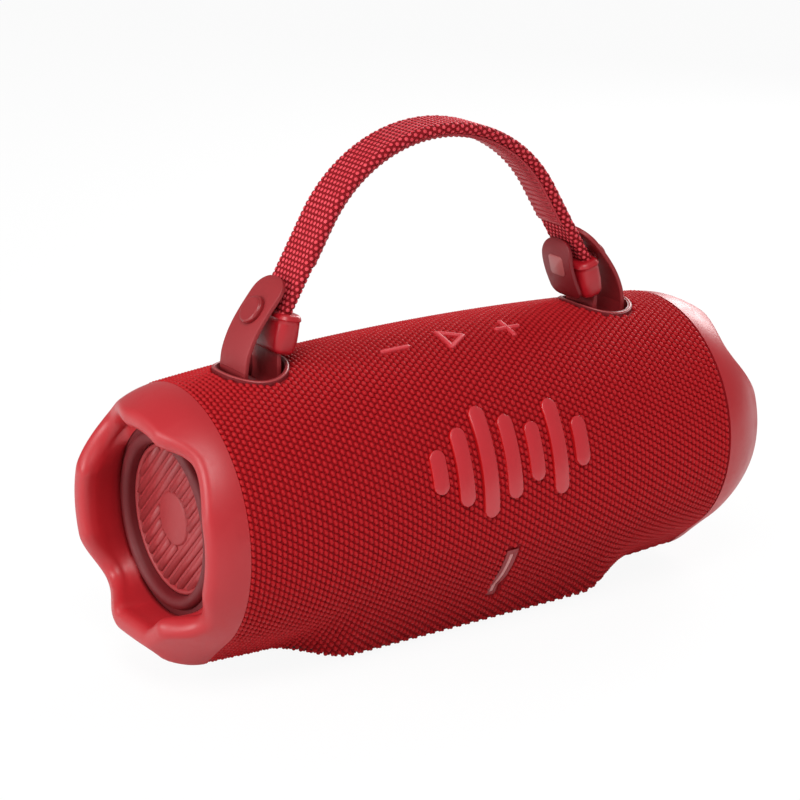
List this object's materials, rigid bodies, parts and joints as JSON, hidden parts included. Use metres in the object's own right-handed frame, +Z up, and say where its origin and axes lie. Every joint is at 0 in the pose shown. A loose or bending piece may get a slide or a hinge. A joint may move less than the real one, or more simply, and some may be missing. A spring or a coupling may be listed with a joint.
{
  "type": "portable speaker",
  "caption": "Barrel-shaped portable party speaker with knitted sleeve, lobed rubber end rings, ribbed passive radiators and an arched carrying strap held by snap tabs.",
  "frame": {"origin": "centre of the rubber foot's underside, on the surface the speaker stands on", "axes": "+X along the barrel towards the right-hand end ring seen from the front, +Y to the rear, +Z up through the strap's arch"},
  "size_m": [0.2288, 0.0961, 0.1662],
  "materials": {
    "knit_red": "knitted",
    "shell_plastic": "moulded",
    "rubber_red": "matt",
    "surround_rubber": "matt",
    "disc_red": "satin",
    "foot_rubber": "matt",
    "badge_red": "satin",
    "key_red": "matt",
    "bezel_red": "satin",
    "guide_white": "frosted",
    "pcb_green": "lacquered",
    "chip_black": "matt",
    "steel": "plated",
    "strap_weave": "woven",
    "clip_gloss": "gloss",
    "pocket_red": "satin",
    "tab_tpu": "matt",
    "snap_red": "satin",
    "magnet_ferrite": "sintered",
    "cone_grey": "matt",
    "copper": "wound",
    "dome_silk": "coated",
    "cell_blue": "shrink sleeve",
    "sink_alu": "anodised"
  },
  "bodies": {
    "speaker": {"anchor_bars": "steel", "baffle": "shell_plastic", "base_foot": "foot_rubber", "battery_case": "shell_plastic", "battery_cells": "cell_blue", "battery_cradle": "shell_plastic", "board_parts": "chip_black", "end_ring_left": "rubber_red", "end_ring_right": "rubber_red", "fabric_sleeve": "knit_red", "front_badge": "badge_red", "heat_sink": "sink_alu", "inner_screws": "steel", "key_board": "pcb_green", "led_bezel": "bezel_red", "led_board": "pcb_green", "led_light_guide": "guide_white", "main_board": "pcb_green", "main_shell": "shell_plastic", "radiator_frames": "shell_plastic", "radiator_screws": "steel", "radiator_surround_left": "surround_rubber", "radiator_surround_right": "surround_rubber", "rear_panel": "foot_rubber", "strap_pocket_left": "pocket_red", "strap_pocket_right": "pocket_red", "switches": "chip_black", "tweeter_body": "shell_plastic", "usb_shell": "steel", "usb_tongue": "chip_black", "woofer_frame": "shell_plastic", "woofer_magnet": "magnet_ferrite", "woofer_pole": "steel", "woofer_surround": "surround_rubber"},
    "keyminus": {"minus_key": "key_red"},
    "keyplay": {"play_key": "key_red"},
    "keyplus": {"plus_key": "key_red"},
    "keypower": {"power_key": "key_red"},
    "keypair": {"pair_key": "key_red"},
    "keylink": {"link_key": "key_red"},
    "radiator_left": {"radiator_diaphragm_left": "disc_red", "radiator_weight_left": "steel"},
    "radiator_right": {"radiator_diaphragm_right": "disc_red", "radiator_weight_right": "steel"},
    "woofer": {"woofer_cone": "cone_grey", "woofer_coil": "copper", "woofer_dust_cap": "cone_grey"},
    "tweeter": {"tweeter_dome": "dome_silk"},
    "handle": {"strap_webbing": "strap_weave", "strap_grip": "foot_rubber", "strap_clip_left": "clip_gloss", "strap_clip_right": "clip_gloss", "strap_tab_left": "tab_tpu", "strap_tab_right": "tab_tpu", "strap_keepers": "tab_tpu", "snap_sockets": "snap_red"},
    "leaf_left": {"snap_leaf_left": "tab_tpu", "snap_rivet_left": "snap_red"},
    "leaf_right": {"snap_leaf_right": "tab_tpu", "snap_rivet_right": "snap_red"}
  },
  "joints": [
    {"name": "minus_press", "type": "slide", "parent": "speaker", "child": "keyminus", "axis": [0, 0.2588, -0.9659], "range_m": [0, 0.0008], "stiffness_N_per_m": 1500},
    {"name": "play_press", "type": "slide", "parent": "speaker", "child": "keyplay", "axis": [0, 0.2588, -0.9659], "range_m": [0, 0.0008], "stiffness_N_per_m": 1500},
    {"name": "plus_press", "type": "slide", "parent": "speaker", "child": "keyplus", "axis": [0, 0.2588, -0.9659], "range_m": [0, 0.0008], "stiffness_N_per_m": 1500},
    {"name": "power_press", "type": "slide", "parent": "speaker", "child": "keypower", "axis": [0, -1, 0], "range_m": [0, 0.0006], "stiffness_N_per_m": 1500},
    {"name": "pair_press", "type": "slide", "parent": "speaker", "child": "keypair", "axis": [0, -1, 0], "range_m": [0, 0.0006], "stiffness_N_per_m": 1500},
    {"name": "link_press", "type": "slide", "parent": "speaker", "child": "keylink", "axis": [0, -1, 0], "range_m": [0, 0.0006], "stiffness_N_per_m": 1500},
    {"name": "radiator_left_stroke", "type": "slide", "parent": "speaker", "child": "radiator_left", "axis": [-1, 0, 0], "range_m": [-0.003, 0.003], "stiffness_N_per_m": 900, "deforming": ["radiator_surround_left"]},
    {"name": "radiator_right_stroke", "type": "slide", "parent": "speaker", "child": "radiator_right", "axis": [1, 0, 0], "range_m": [-0.003, 0.003], "stiffness_N_per_m": 900, "deforming": ["radiator_surround_right"]},
    {"name": "woofer_stroke", "type": "slide", "parent": "speaker", "child": "woofer", "axis": [0, -1, 0], "range_m": [-0.003, 0.003], "stiffness_N_per_m": 1600, "deforming": ["woofer_surround"]},
    {"name": "tweeter_stroke", "type": "slide", "parent": "speaker", "child": "tweeter", "axis": [0, -1, 0], "range_m": [-0.0003, 0.0003], "stiffness_N_per_m": 1500},
    {"name": "handle_swing", "type": "hinge", "parent": "speaker", "child": "handle", "pos_m": [0, 0, 0.0905], "axis": [1, 0, 0], "range_deg": [-6, 6], "stiffness_Nm_per_rad": 0.25},
    {"name": "leaf_left_open", "type": "hinge", "parent": "handle", "child": "leaf_left", "pos_m": [-0.0747, 0, 0.0964], "axis": [0, -1, 0], "range_deg": [0, 70], "stiffness_Nm_per_rad": 0.01},
    {"name": "leaf_right_open", "type": "hinge", "parent": "handle", "child": "leaf_right", "pos_m": [0.0747, 0, 0.0964], "axis": [0, 1, 0], "range_deg": [0, 70], "stiffness_Nm_per_rad": 0.01}
  ]
}
